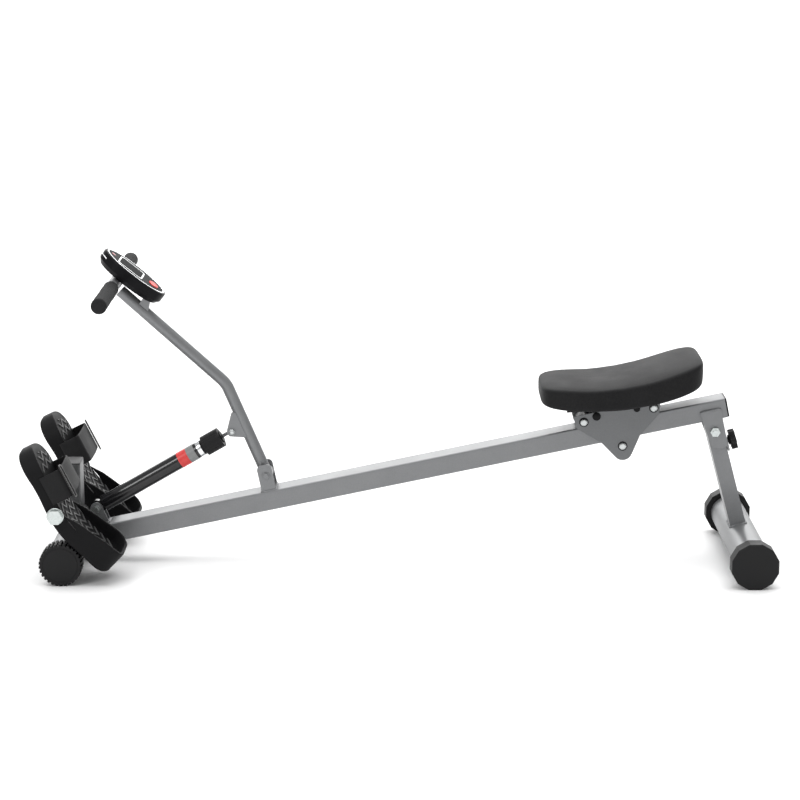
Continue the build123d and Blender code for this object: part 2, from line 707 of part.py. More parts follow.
with BuildPart() as seat_base:                   # board under the pad, channel below it
    with BuildSketch(side()):
        with BuildLine():
            top_line = Spline(*[(x, z - 0.4) for x, z in seat_under])
            low_line = Spline(*[(x, z - 6.2) for x, z in seat_under])
            Line(top_line @ 0, low_line @ 0)
            Line(top_line @ 1, low_line @ 1)
        make_face()
    extrude(amount=72.0, both=True)
    with BuildSketch(side()):
        with Locations((400.0, 320.0)):
            Rectangle(200.0, 90.0)
    extrude(amount=72.0, both=True, mode=Mode.INTERSECT)
    with BuildSketch(rail_side()):
        with Locations(((roller_us[0] + roller_us[1]) / 2, 41.4)):
            Rectangle(103.0, 3.0)
        for u in (375.0, 449.0):                 # spacers up to the board
            with Locations((u, 45.4)):
                Rectangle(16.0, 7.0)
    extrude(amount=plate_y - 0.05, both=True)
save(seat_base, "seat_base")

for name, sign in (("left", -1), ("right", 1)):
    with BuildPart() as carriage_plate:
        with BuildSketch(rail_side(sign * (plate_y + (plate_t if sign > 0 else 0)))):
            with BuildLine():
                Polyline((330.0, 42.9), (331.0, 21.0), (371.5, -16.0), (392.2, -48.5),
                         (421.8, -47.2), (442.8, -16.2), (484.0, 16.0), (489.5, 30.0),
                         (489.5, 42.9), (330.0, 42.9))
            make_face()
            with Locations((406.4, -38.2)):
                Circle(17.6)
            with Locations((roller_us[0], roller_v), (roller_us[1], roller_v),
                           (lower_roller_u, -roller_v)):
                Circle(4.03, mode=Mode.SUBTRACT)
        extrude(amount=plate_t)
    save(carriage_plate, f"carriage_plate_{name}")

roller_spots = (("front", roller_us[0], roller_v), ("rear", roller_us[1], roller_v),
                ("lower", lower_roller_u, -roller_v))
for name, u, v in roller_spots:
    centre = rail_point(u, v)
    with BuildPart() as roller:
        with BuildSketch(side()):
            with Locations(centre):
                Circle(roller_r)
        extrude(amount=27.5, both=True)
        chamfer(roller.edges().filter_by(GeomType.CIRCLE), 0.8)
        with BuildSketch(side()):
            with Locations(centre):
                Circle(4.08)
        extrude(amount=40, both=True, mode=Mode.SUBTRACT)
    save(roller, f"roller_{name}")
    with BuildPart() as roller_bolt:
        with BuildSketch(side()):
            with Locations(centre):
                Circle(4.0)
        extrude(amount=plate_y + plate_t + 0.05, both=True)
        for y in (-plate_y - plate_t - 0.05, plate_y + plate_t + 4.55):
            with BuildSketch(side(y)):           # domed heads
                with Locations(centre):
                    Circle(7.0)
            extrude(amount=4.5)
        for edge in roller_bolt.edges().filter_by(GeomType.CIRCLE).sort_by(Axis.Y)[::len(
                roller_bolt.edges().filter_by(GeomType.CIRCLE)) - 1]:
            chamfer(edge, 2.0)
    save(roller_bolt, f"roller_bolt_{name}")

# ---- rear bracket and folding leg ----------------------------------------------------
leg_dx, leg_dz = rear_x - leg_pivot[0], cap_apothem - leg_pivot[1]
leg_len = math.hypot(leg_dx, leg_dz)
leg_dir = (leg_dx / leg_len, 0, leg_dz / leg_len)


def leg_side(y=0.0):
    """Sketch plane with local x along the leg (downwards) and local y to the front."""
    return Plane(origin=(leg_pivot[0], y, leg_pivot[1]), x_dir=leg_dir, z_dir=(0, 1, 0))


with BuildPart() as rear_bracket:
    with BuildSketch(rail_side()):
        with BuildLine():
            Polyline((558.5, 1.0), (597.0, 1.0), (597.5, -46.0), (597.8, -70.0), (585.0, -73.5),
                     (568.0, -68.0), (562.0, -30.0), (558.5, 1.0))
        make_face()
    extrude(amount=rail_w / 2 + 3.05, both=True)
    with BuildSketch(rail_side()):
        with Locations((580, -30)):
            Rectangle(100, 120)
    extrude(amount=rail_w / 2 + 0.05, both=True, mode=Mode.SUBTRACT)
    with BuildSketch(leg_side()):                # rear web carrying the clamp screw
        with Locations((29.0, -16.8)):
            Rectangle(26.0, 3.6)
    extrude(amount=rail_w / 2 + 1.0, both=True)
    with BuildSketch(Plane(origin=(leg_pivot[0] + leg_dir[0] * 29, 0, leg_pivot[1] + leg_dir[2] * 29),
                           x_dir=(0, 1, 0), z_dir=(-leg_dir[2], 0, leg_dir[0]))):
        Circle(5.08)
    extrude(amount=40, mode=Mode.SUBTRACT)
    with BuildSketch(side()):
        with Locations(leg_pivot):
            Circle(5.03)
    extrude(amount=40, both=True, mode=Mode.SUBTRACT)
save(rear_bracket, "rear_bracket")

with BuildPart() as rear_leg:
    with BuildSketch(leg_side()):
        with Locations((leg_len / 2, 0)):
            Rectangle(leg_len, leg_t)
        Circle(leg_t / 2)
    extrude(amount=leg_w / 2, both=True)
    with BuildSketch(leg_side()):
        with Locations((leg_len / 2 + 16, 0)):
            Rectangle(leg_len, leg_t - 2 * leg_wall)
    extrude(amount=leg_w / 2 - leg_wall, both=True, mode=Mode.SUBTRACT)
    with BuildSketch(side()):
        with Locations((rear_x, cap_apothem)):
            Circle(rear_tube_r + 0.05)
    extrude(amount=leg_w, both=True, mode=Mode.SUBTRACT)
    with BuildSketch(side()):
        with Locations(leg_pivot):
            Circle(9.0)
    extrude(amount=rail_w / 2 - 0.2, both=True)
    with BuildSketch(side()):
        with Locations(leg_pivot):
            Circle(5.08)
    extrude(amount=leg_w, both=True, mode=Mode.SUBTRACT)
save(rear_leg, "rear_leg")

with BuildPart() as rear_cross_tube:
    with BuildSketch(side()):
        with Locations((rear_x, cap_apothem)):
            Circle(rear_tube_r)
            Circle(rear_tube_r - tube_wall, mode=Mode.SUBTRACT)
    extrude(amount=rear_half - 5, both=True)
save(rear_cross_tube, "rear_cross_tube")

for name, sign in (("left", -1), ("right", 1)):
    with BuildPart() as rear_cap:
        with BuildSketch(side(sign * rear_half)):
            with Locations((rear_x, cap_apothem)):
                RegularPolygon(cap_r, 12, rotation=15)
        extrude(amount=sign * cap_w)
        chamfer(rear_cap.faces().sort_by(Axis.Y)[0 if sign < 0 else -1].edges(), 1.6)
        with BuildSketch(side(sign * (rear_half - 4.9))):
            with Locations((rear_x, cap_apothem)):
                Circle(rear_tube_r + 0.02)
        extrude(amount=sign * cap_w, mode=Mode.SUBTRACT)
    save(rear_cap, f"rear_cap_{name}")

# ---- clamp knob ----------------------------------------------------------------------
screw_n = (-leg_dir[2], 0, leg_dir[0])           # square to the leg, to the rear


def screw(h):
    """Plane square to the clamp screw, h behind the middle of the leg."""
    return Plane(origin=(leg_pivot[0] + leg_dir[0] * 29 + screw_n[0] * h, 0,
                         leg_pivot[1] + leg_dir[2] * 29 + screw_n[2] * h),
                 x_dir=(0, 1, 0), z_dir=screw_n)


with BuildPart() as lock_knob:
    with BuildSketch(screw(leg_t / 2 + 0.1)):
        Circle(5.0)
    extrude(amount=12)
    with BuildSketch(screw(24.5)):
        Circle(9.0)
    extrude(amount=-3)
    with BuildSketch(screw(24.5)):
        Circle(15.0)
        with PolarLocations(14.5, 6):
            Circle(4.6)
        with PolarLocations(19.5, 6, 30):
            Circle(5.6, mode=Mode.SUBTRACT)
    extrude(amount=11)
save(lock_knob, "lock_knob")
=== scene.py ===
"""Folding rowing machine with a single rail: looks and soft pieces around the CAD frame.
Metres, +Z up, floor at Z = 0, +X to the rear (seat) end, the user's left at -Y."""
import math
import bmesh
import bpy
import numpy as np
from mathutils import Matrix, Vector


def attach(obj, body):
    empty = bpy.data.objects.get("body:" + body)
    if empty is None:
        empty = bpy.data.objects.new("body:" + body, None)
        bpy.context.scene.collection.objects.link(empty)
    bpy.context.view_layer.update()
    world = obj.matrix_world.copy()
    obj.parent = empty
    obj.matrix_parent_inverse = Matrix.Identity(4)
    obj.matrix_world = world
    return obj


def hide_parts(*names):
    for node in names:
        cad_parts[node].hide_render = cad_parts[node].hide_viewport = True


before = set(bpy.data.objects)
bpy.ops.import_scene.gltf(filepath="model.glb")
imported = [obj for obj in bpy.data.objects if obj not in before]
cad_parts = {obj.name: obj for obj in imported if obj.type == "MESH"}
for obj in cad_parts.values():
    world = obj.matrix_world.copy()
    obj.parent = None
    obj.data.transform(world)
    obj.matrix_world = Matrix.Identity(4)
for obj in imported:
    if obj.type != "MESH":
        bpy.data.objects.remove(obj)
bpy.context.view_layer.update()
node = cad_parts

# ---- steel frame ------------------------------------------------------------------------
# Square and round steel tube and pressed brackets, welded and powder coated in silver grey.
# The coat has a fine metal flake and a slight orange peel. The front post wears a darker copy
# as painted shade, for the shadow the pedals and straps cast on it; the carriage plates wear a
# darker copy as well.


def shader_group(name, inputs, outputs):
    """An empty node group with the named sockets; returns it with its input and output nodes."""
    tree = bpy.data.node_groups.new(name, "ShaderNodeTree")
    for label, kind, value in inputs:
        socket = tree.interface.new_socket(name=label, in_out="INPUT", socket_type=kind)
        socket.default_value = value
    for label, kind in outputs:
        tree.interface.new_socket(name=label, in_out="OUTPUT", socket_type=kind)
    return tree, tree.nodes.new("NodeGroupInput"), tree.nodes.new("NodeGroupOutput")


FLOAT, COLOR, VECTOR = "NodeSocketFloat", "NodeSocketColor", "NodeSocketVector"

# Grain: noise on Object coordinates, stretched to a 0-1 mask round its middle.
grain, g_in, g_out = shader_group(
    "Grain", [("Scale", FLOAT, 400.0), ("Detail", FLOAT, 3.0), ("Contrast", FLOAT, 1.0)],
    [("Mask", FLOAT)])
coord = grain.nodes.new("ShaderNodeTexCoord")
noise = grain.nodes.new("ShaderNodeTexNoise")
centred = grain.nodes.new("ShaderNodeMath")
centred.operation = "SUBTRACT"
centred.inputs[1].default_value = 0.5
gained = grain.nodes.new("ShaderNodeMath")
gained.operation = "MULTIPLY_ADD"
gained.use_clamp = True
gained.inputs[2].default_value = 0.5
grain.links.new(coord.outputs["Object"], noise.inputs["Vector"])
grain.links.new(g_in.outputs["Scale"], noise.inputs["Scale"])
grain.links.new(g_in.outputs["Detail"], noise.inputs["Detail"])
grain.links.new(noise.outputs["Fac"], centred.inputs[0])
grain.links.new(centred.outputs[0], gained.inputs[0])
grain.links.new(g_in.outputs["Contrast"], gained.inputs[1])
grain.links.new(gained.outputs[0], g_out.inputs["Mask"])

# Two tone: mixes two colours by a mask, for mottling, flake and wear.
two_tone, t_in, t_out = shader_group(
    "Two tone", [("Mask", FLOAT, 0.5), ("Low", COLOR, (0, 0, 0, 1)), ("High", COLOR, (1, 1, 1, 1))],
    [("Color", COLOR)])
mix = two_tone.nodes.new("ShaderNodeMix")
mix.data_type = "RGBA"
two_tone.links.new(t_in.outputs["Mask"], mix.inputs["Factor"])
two_tone.links.new(t_in.outputs["Low"], mix.inputs["A"])
two_tone.links.new(t_in.outputs["High"], mix.inputs["B"])
two_tone.links.new(mix.outputs["Result"], t_out.inputs["Color"])

# Soft edge: a normal rounded over every sharp arris, then dented by a height.
soft_edge, s_in, s_out = shader_group(
    "Soft edge", [("Height", FLOAT, 0.5), ("Depth", FLOAT, 0.0001), ("Radius", FLOAT, 0.0007)],
    [("Normal", VECTOR)])
arris = soft_edge.nodes.new("ShaderNodeBevel")
arris.samples = 4
soft_edge.links.new(s_in.outputs["Radius"], arris.inputs["Radius"])
dent = soft_edge.nodes.new("ShaderNodeBump")
dent.inputs["Strength"].default_value = 1.0
soft_edge.links.new(arris.outputs["Normal"], dent.inputs["Normal"])
soft_edge.links.new(s_in.outputs["Height"], dent.inputs["Height"])
soft_edge.links.new(s_in.outputs["Depth"], dent.inputs["Distance"])
soft_edge.links.new(dent.outputs["Normal"], s_out.inputs["Normal"])


FINE_SHARE, BROAD_SHARE = 0.55, 0.45            # of the two grains in the mottling


def finish_of(name, low, high, rough, grain_scale, depth=0.00002, metallic=0.0, contrast=1.4,
              rough_swing=0.08, blotch_scale=18.0, detail=3.0, radius=0.0007, **sockets):
    """A material: fine grain dents the surface and mottles low to high, broad blotches swing the
    roughness. Other sockets of the Principled shader are given by name with _ for a space."""
    material = bpy.data.materials.new(name)
    material.use_nodes = True
    tree = material.node_tree
    shader = tree.nodes["Principled BSDF"]

    def place(group, **values):
        placed = tree.nodes.new("ShaderNodeGroup")
        placed.node_tree = group
        for key, value in values.items():
            placed.inputs[key].default_value = value
        return placed

    fine = place(grain, Scale=grain_scale, Detail=detail, Contrast=contrast)
    broad = place(grain, Scale=blotch_scale, Detail=4.0, Contrast=2.2)
    tone = place(two_tone, Low=(*low, 1), High=(*high, 1))
    edge = place(soft_edge, Depth=depth, Radius=radius)
    blend = tree.nodes.new("ShaderNodeMath")
    blend.operation = "MULTIPLY"
    blend.inputs[1].default_value = BROAD_SHARE
    both = tree.nodes.new("ShaderNodeMath")
    both.operation = "MULTIPLY_ADD"
    both.inputs[1].default_value = FINE_SHARE
    swing = tree.nodes.new("ShaderNodeMapRange")
    swing.inputs["To Min"].default_value = rough - rough_swing
    swing.inputs["To Max"].default_value = rough + rough_swing
    link = tree.links.new
    link(broad.outputs["Mask"], blend.inputs[0])
    link(fine.outputs["Mask"], both.inputs[0])
    link(blend.outputs[0], both.inputs[2])
    link(both.outputs[0], tone.inputs["Mask"])
    link(tone.outputs["Color"], shader.inputs["Base Color"])
    link(broad.outputs["Mask"], swing.inputs["Value"])
    link(swing.outputs["Result"], shader.inputs["Roughness"])
    link(fine.outputs["Mask"], edge.inputs["Height"])
    link(edge.outputs["Normal"], shader.inputs["Normal"])
    shader.inputs["Metallic"].default_value = metallic
    for key, value in sockets.items():
        shader.inputs[key.replace("_", " ")].default_value = value
    return material


def wear(material, *names):
    """Puts one material on every slot of the named CAD nodes."""
    for name in names:
        mesh = node[name].data
        mesh.materials.clear()
        mesh.materials.append(material)


silver_coat = finish_of("silver powder coat", (0.166, 0.170, 0.175), (0.230, 0.234, 0.239), 0.40,
                        900.0, depth=0.000025, metallic=0.5, contrast=2.0, rough_swing=0.05)
# Painted shade: this darker copy of the coat stands for the pedals' and straps' shadow on the post.
post_painted_shade_coat = finish_of("silver coat in the shade", (0.075, 0.077, 0.079), (0.108, 0.110, 0.112),
                        0.42, 900.0, depth=0.000025, metallic=0.4, contrast=2.0, rough_swing=0.05,
                        radius=0.002)
wear(post_painted_shade_coat, "front_post")
plate_coat = finish_of("silver coat on the plates", (0.122, 0.126, 0.130), (0.170, 0.174, 0.178),
                       0.42, 900.0, depth=0.000025, metallic=0.5, contrast=2.0, rough_swing=0.05)
wear(plate_coat, "carriage_plate_left", "carriage_plate_right")
wear(silver_coat, "rail", "mast_bolt", "front_cross_tube", "cylinder_clevis", "mast_bracket",
     "rear_bracket", "rear_leg", "rear_cross_tube", "mast_tube", "mast_tabs", "t_bar",
     "console_bracket")

# ---- weld beads -------------------------------------------------------------------------
# MIG beads where tubes and brackets meet, coated over with the frame. Each is a thin tube along
# the joint line, swollen in overlapping ripples as the torch stepped round.


def mesh_piece(name, points, faces, material, smooth=True):
    """A mesh object at the origin from an (n, 3) array and a face list."""
    mesh = bpy.data.meshes.new(name)
    mesh.from_pydata(np.asarray(points, float).tolist(), [], [tuple(map(int, f)) for f in faces])
    mesh.update()
    if smooth:
        mesh.polygons.foreach_set("use_smooth", [True] * len(mesh.polygons))
    mesh.materials.append(material)
    thing = bpy.data.objects.new(name, mesh)
    bpy.context.scene.collection.objects.link(thing)
    return thing


def grid_faces(rows, cols, close_rows, close_cols):
    """Quads over a rows x cols grid of points; either way round may be closed."""
    r = np.arange(rows if close_rows else rows - 1)
    c = np.arange(cols if close_cols else cols - 1)
    i, j = np.meshgrid(r, c, indexing="ij")
    i2, j2 = (i + 1) % rows, (j + 1) % cols
    return np.stack([i * cols + j, i * cols + j2, i2 * cols + j2, i2 * cols + j], -1).reshape(-1, 4)


def outward(thing):
    """Turns a closed mesh's faces outward after merging its doubles."""
    bm = bmesh.new()
    bm.from_mesh(thing.data)
    bmesh.ops.remove_doubles(bm, verts=bm.verts, dist=1e-6)
    bmesh.ops.recalc_face_normals(bm, faces=bm.faces)
    bm.to_mesh(thing.data)
    bm.free()
    thing.data.polygons.foreach_set("use_smooth", [True] * len(thing.data.polygons))
    return thing


def tube_along(name, path, radius, material, closed=True, sides=8):
    """Tube along a path: p(s) + r(s) (cos a N + sin a B), with N and B square to the path's run."""
    path = np.asarray(path, float)
    run = (np.roll(path, -1, 0) - np.roll(path, 1, 0)) if closed else np.gradient(path, axis=0)
    run /= np.linalg.norm(run, axis=1, keepdims=True) + 1e-12
    ref = np.array([0.31, 0.17, 0.935])          # along none of the paths
    across = np.cross(run, ref)
    across /= np.linalg.norm(across, axis=1, keepdims=True)
    up = np.cross(run, across)
    a = np.linspace(0, 2 * math.pi, sides, endpoint=False)
    r = np.broadcast_to(np.asarray(radius, float), len(path))[:, None, None]
    spoke = (np.cos(a)[None, :, None] * across[:, None] + np.sin(a)[None, :, None] * up[:, None])
    ring = path[:, None] + r * spoke
    points = ring.reshape(-1, 3)
    faces = grid_faces(len(path), sides, closed, True).tolist()
    if not closed:
        faces += [tuple(range(sides)), tuple(range(len(points) - 1, len(points) - 1 - sides, -1))]
    return outward(mesh_piece(name, points, faces, material))


def even_steps(path, step, closed=True):
    """The same line resampled at even steps of arc length."""
    path = np.asarray(path, float)
    if closed:
        path = np.vstack([path, path[:1]])
    s = np.r_[0, np.cumsum(np.linalg.norm(np.diff(path, axis=0), axis=1))]
    count = max(8, int(round(s[-1] / step)))
    t = np.linspace(0, s[-1], count, endpoint=not closed)
    return np.stack([np.interp(t, s, path[:, k]) for k in range(3)], 1)


BEAD_STEP, RIPPLE, BEAD_TAPER = 0.0006, 0.0024, 0.003


def weld(name, path, body, size=0.0022, closed=True):
    """A rippled bead: radius = size (0.86 + 0.2 |sin pi k| + 0.05 sin(1.7 k + 1)), k counted in
    ripples along the path; an open bead tapers at both ends."""
    line = even_steps(path, BEAD_STEP, closed)
    count = np.arange(len(line))
    k = count * BEAD_STEP / RIPPLE
    swell = size * (0.86 + 0.2 * np.abs(np.sin(math.pi * k)) + 0.05 * np.sin(1.7 * k + 1.0))
    if not closed:
        ends = np.minimum(count, count[::-1]) * BEAD_STEP
        swell = swell * np.clip(np.sqrt(np.clip(ends / BEAD_TAPER, 0, 1)), 0.15, 1)
    bead = tube_along(name, line, swell, silver_coat, closed, 7)
    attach(bead, body)


def rounded_loop(half_a, half_b, corner, count=24):
    """(a, b) points round a rectangle with round corners."""
    q = np.linspace(0, math.pi / 2, count)
    out = []
    for sa, sb, start in ((1, 1, 0), (-1, 1, 1), (-1, -1, 2), (1, -1, 3)):
        t = q + start * math.pi / 2
        out.append(np.stack([sa * (half_a - corner) + corner * np.cos(t),
                             sb * (half_b - corner) + corner * np.sin(t)], 1))
    return np.vstack(out)


rail_slope = math.atan(0.21)
along_rail = np.array([math.cos(rail_slope), 0, math.sin(rail_slope)])
off_rail = np.array([-math.sin(rail_slope), 0, math.cos(rail_slope)])
rail_zero = np.array([0, 0, 0.1692])
y_axis = np.array([0, 1.0, 0])
front_tube = np.array([-0.6110, 0, 0.03875])
rear_tube = np.array([0.6310, 0, 0.0436 * math.cos(math.pi / 12)])
tube_radius, rear_tube_radius = 0.030, 0.0325
BEAD_LIFT = 0.0003                               # of a bead's middle off the tube it lies on


def meet_tube(loop, origin, a_dir, b_dir, run, tube, radius):
    """Each point of a section loop slid along run until it is radius away from a tube's axis
    (along Y)."""
    start = origin + loop[:, :1] * a_dir + loop[:, 1:] * b_dir
    rel = (start - tube) * [1, 0, 1]
    r = run * [1, 0, 1]
    a = (r * r).sum()
    b = 2 * rel @ r
    c = (rel * rel).sum(1) - radius ** 2
    slide = (-b - np.sqrt(np.maximum(b * b - 4 * a * c, 0))) / (2 * a)
    return start + slide[:, None] * run


weld("weld_rail_front",
     meet_tube(rounded_loop(0.0265, 0.0185, 0.0035), rail_zero, y_axis, off_rail, -along_rail,
               front_tube, tube_radius + BEAD_LIFT), "frame")
weld("weld_post_foot",
     meet_tube(rounded_loop(0.0190, 0.0265, 0.0035), np.array([-0.6096, 0, 0.2]),
               np.array([1.0, 0, 0]), y_axis, np.array([0, 0, -1.0]), front_tube,
               tube_radius + BEAD_LIFT), "frame")
leg_top = np.array([0.5745, 0, 0.250])
leg_run = rear_tube - leg_top
leg_run = leg_run / np.linalg.norm(leg_run)
leg_side = np.array([-leg_run[2], 0, leg_run[0]])
weld("weld_leg_foot",
     meet_tube(rounded_loop(0.0233, 0.0148, 0.003), leg_top, y_axis, leg_side, leg_run, rear_tube,
               rear_tube_radius + BEAD_LIFT), "leg", 0.0026)


def on_rail(u, y, v=0.0184):
    """Points on the rail's top, u along it and y across."""
    u, y = np.broadcast_arrays(np.asarray(u, float), np.asarray(y, float))
    return rail_zero + u[..., None] * along_rail + v * off_rail + y[..., None] * y_axis


for label, u_mid, half_u, half_y in (("mast_bracket", -0.2455, 0.0138, 0.0233),
                                     ("clevis", -0.5665, 0.0172, 0.0128)):
    loop = rounded_loop(half_u, half_y, 0.002)
    weld(f"weld_{label}", on_rail(u_mid + loop[:, 0], loop[:, 1]), "frame", 0.0018)
for label, y in (("left", -0.0292), ("right", 0.0292)):
    edge = np.linspace(0.560, 0.5955, 40)[:, None]
    weld(f"weld_rear_bracket_{label}",
         rail_zero + edge * along_rail + 0.0013 * off_rail + y * y_axis, "frame", 0.0017,
         closed=False)

mast_elbow, mast_head = np.array([-0.3218, 0, 0.3350]), np.array([-0.5115, 0, 0.5072])
upper_run = (mast_head - mast_elbow) / np.linalg.norm(mast_head - mast_elbow)
upper_off = np.array([upper_run[2], 0, -upper_run[0]])
bar = np.array([-0.5195, 0, 0.5235])
turn = np.linspace(0, 2 * math.pi, 90, endpoint=False)
ring = 0.0113 * np.stack([np.cos(turn), np.sin(turn)], 1)
reach = (mast_elbow + ring[:, 1:] * upper_off - bar) @ upper_off
ring = ring[np.abs(reach) < 0.0108]
for label, sign in (("left", -1), ("right", 1)):
    part = ring[ring[:, 0] * sign > 0]
    part = part[np.argsort(part[:, 1])]
    if len(part) > 6:
        weld(f"weld_bar_{label}",
             meet_tube(part, mast_elbow, y_axis, upper_off, upper_run, bar, 0.0112), "mast", 0.0015,
             closed=False)

# ---- zinc hardware ----------------------------------------------------------------------
# Hex bolts, nuts, axles and washers in bright zinc with a faint blue-green passivation.
# The plating is satin and slightly blotchy.
zinc = finish_of("bright zinc", (0.42, 0.46, 0.455), (0.62, 0.65, 0.64), 0.28, 320.0,
                 depth=0.00001, metallic=1.0, contrast=1.6, rough_swing=0.08, blotch_scale=60.0,
                 radius=0.0009)
wear(zinc, "front_axle", "pedal_axle", "axle_nut_left", "axle_nut_right", "clevis_bolt",
     "rear_bolt")
domed_zinc = finish_of("domed zinc heads", (0.40, 0.42, 0.42), (0.60, 0.62, 0.62), 0.24, 320.0,
                       depth=0.00001, metallic=1.0, blotch_scale=60.0, radius=0.004)
wear(domed_zinc, "tab_bolt", "roller_bolt_front", "roller_bolt_rear", "roller_bolt_lower")

# ---- black mouldings --------------------------------------------------------------------
# Injection moulded caps, knobs, wheels and pedals in black polypropylene with a spark-eroded
# mould grain. The pedals' tread ribs are coloured a lighter grey: a painted highlight for the
# light that the raised ribs catch.
black_moulding = finish_of("black moulded plastic", (0.006, 0.006, 0.0065), (0.013, 0.013, 0.0135),
                           0.5, 1500.0, depth=0.00004, contrast=1.8, rough_swing=0.07,
                           Specular_IOR_Level=0.2)
cap_moulding = finish_of("grey moulded cap", (0.034, 0.034, 0.035), (0.048, 0.048, 0.049), 0.5,
                         1500.0, depth=0.00004, radius=0.002, Specular_IOR_Level=0.3)
wear(cap_moulding, "post_cap")
wear(black_moulding, "rail_end_cap", "front_wheel_left", "front_wheel_right", "rear_cap_left",
     "rear_cap_right", "lock_knob", "damper_knob", "seat_base")
pedal_moulding = finish_of("pedal moulding", (0.004, 0.004, 0.0045), (0.010, 0.010, 0.0105), 0.55,
                           1100.0, depth=0.00006, radius=0.0045, Specular_IOR_Level=0.1)
wear(pedal_moulding, "pedal_left", "pedal_right")
# The treads' lighter grey is a painted highlight on the raised ribs.
tread_painted_highlight = finish_of("tread rubber", (0.040, 0.040, 0.041), (0.075, 0.075, 0.076), 0.45, 700.0,
                         depth=0.00005, radius=0.0012)
wear(tread_painted_highlight, "tread_left", "tread_right")
nylon = finish_of("roller nylon", (0.018, 0.018, 0.019), (0.03, 0.03, 0.031), 0.35, 300.0)
wear(nylon, "roller_front", "roller_rear", "roller_lower")

# ---- console ----------------------------------------------------------------------------
# Gloss black clamshell with a bright trim line, a dark window in a bright frame, one red key and a
# small lamp.
gloss_black = finish_of("gloss black", (0.006, 0.006, 0.007), (0.010, 0.010, 0.011), 0.3, 250.0,
                        depth=0.000004, rough_swing=0.05, radius=0.002, Specular_IOR_Level=0.06)
wear(gloss_black, "console_housing")
face_grey = finish_of("console face", (0.035, 0.035, 0.036), (0.05, 0.05, 0.051), 0.5, 250.0,
                      depth=0.000004, IOR=1.05)
wear(face_grey, "console_face")
chrome = finish_of("bright trim", (0.72, 0.73, 0.74), (0.85, 0.86, 0.87), 0.14, 500.0,
                   depth=0.000003, metallic=1.0, rough_swing=0.04)
wear(chrome, "console_ring", "damper_ring")
display = finish_of("display frame", (0.62, 0.63, 0.63), (0.74, 0.75, 0.75), 0.3, 200.0,
                    depth=0.000002, metallic=0.6)
wear(display, "console_lcd")
window = finish_of("smoked window", (0.004, 0.004, 0.005), (0.008, 0.008, 0.009), 0.2, 60.0,
                   depth=0.000001, rough_swing=0.03, IOR=1.02)
wear(window, "console_lens")
red_key = finish_of("red key", (0.60, 0.03, 0.025), (0.72, 0.05, 0.04), 0.4, 400.0, depth=0.00001,
                    IOR=1.2)
wear(red_key, "console_button")

console_tilt = math.radians(38.6)
down_face = np.array([math.cos(console_tilt), 0, -math.sin(console_tilt)])
off_face = np.array([math.sin(console_tilt), 0, math.cos(console_tilt)])
console_middle = np.array([-0.4902, 0, 0.5330])


def on_console(a, b, h):
    """Points a down the face, b across and h above the middle of the console."""
    a, b, h = np.broadcast_arrays(np.asarray(a, float), b, h)
    return (console_middle + a[..., None] * down_face + b[..., None] * y_axis
            + h[..., None] * off_face)


ACCENT_SWEEP = 0.62                              # half of the angle the side trim runs over
swing = np.linspace(math.pi - ACCENT_SWEEP, math.pi + ACCENT_SWEEP, 41)
accent = tube_along("console_accent",
                    on_console(0.0679 * np.cos(swing), 0.0489 * np.sin(swing), 0.0035), 0.0011,
                    chrome, closed=False)
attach(accent, "mast")
pink = finish_of("pale red lamp", (0.42, 0.10, 0.11), (0.5, 0.14, 0.15), 0.3, 400.0)
LAMP_SIDES = 40
spin = np.linspace(0, 2 * math.pi, LAMP_SIDES, endpoint=False)
dome = np.array([(0.0, 0.0138), (0.0022, 0.0137), (0.0040, 0.0133), (0.0046, 0.0128),
                 (0.0046, 0.0120), (0.0, 0.0120)])
lamp_points = on_console(-0.0500 + dome[:, :1] * np.cos(spin), dome[:, :1] * np.sin(spin),
                         dome[:, 1:] + 0 * spin)
lamp = outward(mesh_piece("indicator", lamp_points.reshape(-1, 3),
                          grid_faces(len(dome), LAMP_SIDES, False, True), pink))
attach(lamp, "mast")

# ---- damper -----------------------------------------------------------------------------
# Hydraulic cylinder in gloss black paint with a plain two-colour band, a bright gland ring, a dark
# rod and a ribbed resistance dial.
damper_paint = finish_of("damper gloss paint", (0.005, 0.005, 0.006), (0.009, 0.009, 0.010), 0.18,
                         160.0, depth=0.000004, rough_swing=0.03, Specular_IOR_Level=0.5)
wear(damper_paint, "damper_barrel")
band_red = finish_of("red band", (0.58, 0.03, 0.03), (0.68, 0.05, 0.045), 0.35, 600.0,
                     depth=0.000005)
wear(band_red, "damper_label_red")
band_grey = finish_of("grey band", (0.16, 0.165, 0.165), (0.24, 0.245, 0.245), 0.38, 600.0,
                      depth=0.000005)
wear(band_grey, "damper_label_grey")
dark_rod = finish_of("dark rod", (0.06, 0.06, 0.062), (0.10, 0.10, 0.105), 0.25, 500.0,
                     metallic=1.0)
wear(dark_rod, "damper_rod")

# ---- grips ------------------------------------------------------------------------------
# Closed-cell foam sleeves pushed on the cross bar: a fine open skin, rounded ends, a little
# squashed where hands hold them.
foam = finish_of("grip foam", (0.008, 0.008, 0.0085), (0.020, 0.020, 0.021), 0.8, 1100.0,
                 depth=0.00022, contrast=2.4, rough_swing=0.05, detail=1.0, Specular_IOR_Level=0.2)


def turned(name, profile, centre, material, sides=72, wave=None):
    """A turned piece about a line along Y: profile rows are (y, radius); ends close on the axis."""
    profile = np.asarray(profile, float)
    a = np.linspace(0, 2 * math.pi, sides, endpoint=False)
    y, r = profile[:, 0][:, None], profile[:, 1][:, None]
    if wave is not None:
        r = r + wave(y, a[None])
    grid = np.stack([centre[0] + r * np.cos(a), y + 0 * a, centre[2] + r * np.sin(a)], -1)
    return outward(mesh_piece(name, grid.reshape(-1, 3),
                              grid_faces(len(profile), sides, False, True), material))


